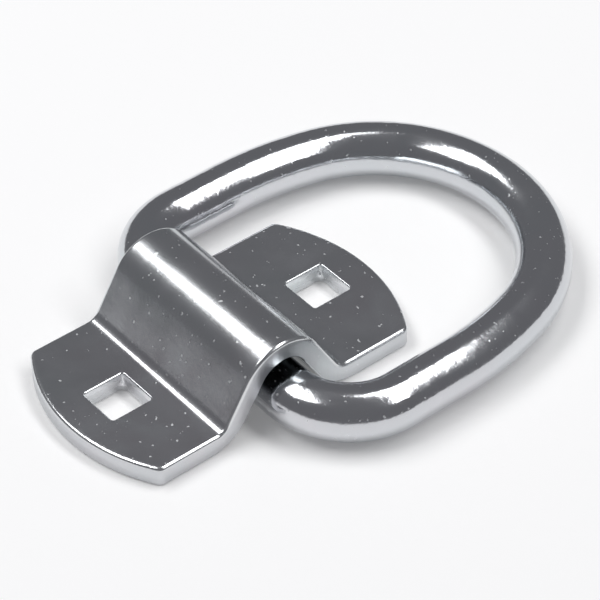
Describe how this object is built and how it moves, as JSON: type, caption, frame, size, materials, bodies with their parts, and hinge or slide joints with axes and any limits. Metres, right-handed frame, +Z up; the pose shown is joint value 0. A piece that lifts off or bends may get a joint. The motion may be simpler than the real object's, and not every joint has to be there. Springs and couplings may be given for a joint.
{
  "type": "bolt-on d-ring",
  "caption": "D-shaped lashing ring of round steel bar, hinged under the arch of a pressed steel strap that bolts to a flat surface through square holes.",
  "frame": {"origin": "on the mounting face, midway between the two square bolt holes", "axes": "+X along the straight side of the ring, +Y from the arch towards the bow of the ring as it lies, +Z up from the mounting face"},
  "size_m": [0.0896, 0.1276, 0.0208],
  "materials": {
    "bracket_steel": "bright zinc plating over pressed hot-rolled steel, finely speckled",
    "ring_steel": "bright zinc plating over bent round bar, slightly dimpled"
  },
  "bodies": {
    "bracket": {"mounting_bracket": "bracket_steel"},
    "ring": {"d_ring": "ring_steel"}
  },
  "joints": [
    {"name": "ring_hinge", "type": "hinge", "parent": "bracket", "child": "ring", "pos_m": [0.0013, -0.00011, 0.00635], "axis": [1, 0, 0], "range_deg": [0, 180]}
  ]
}
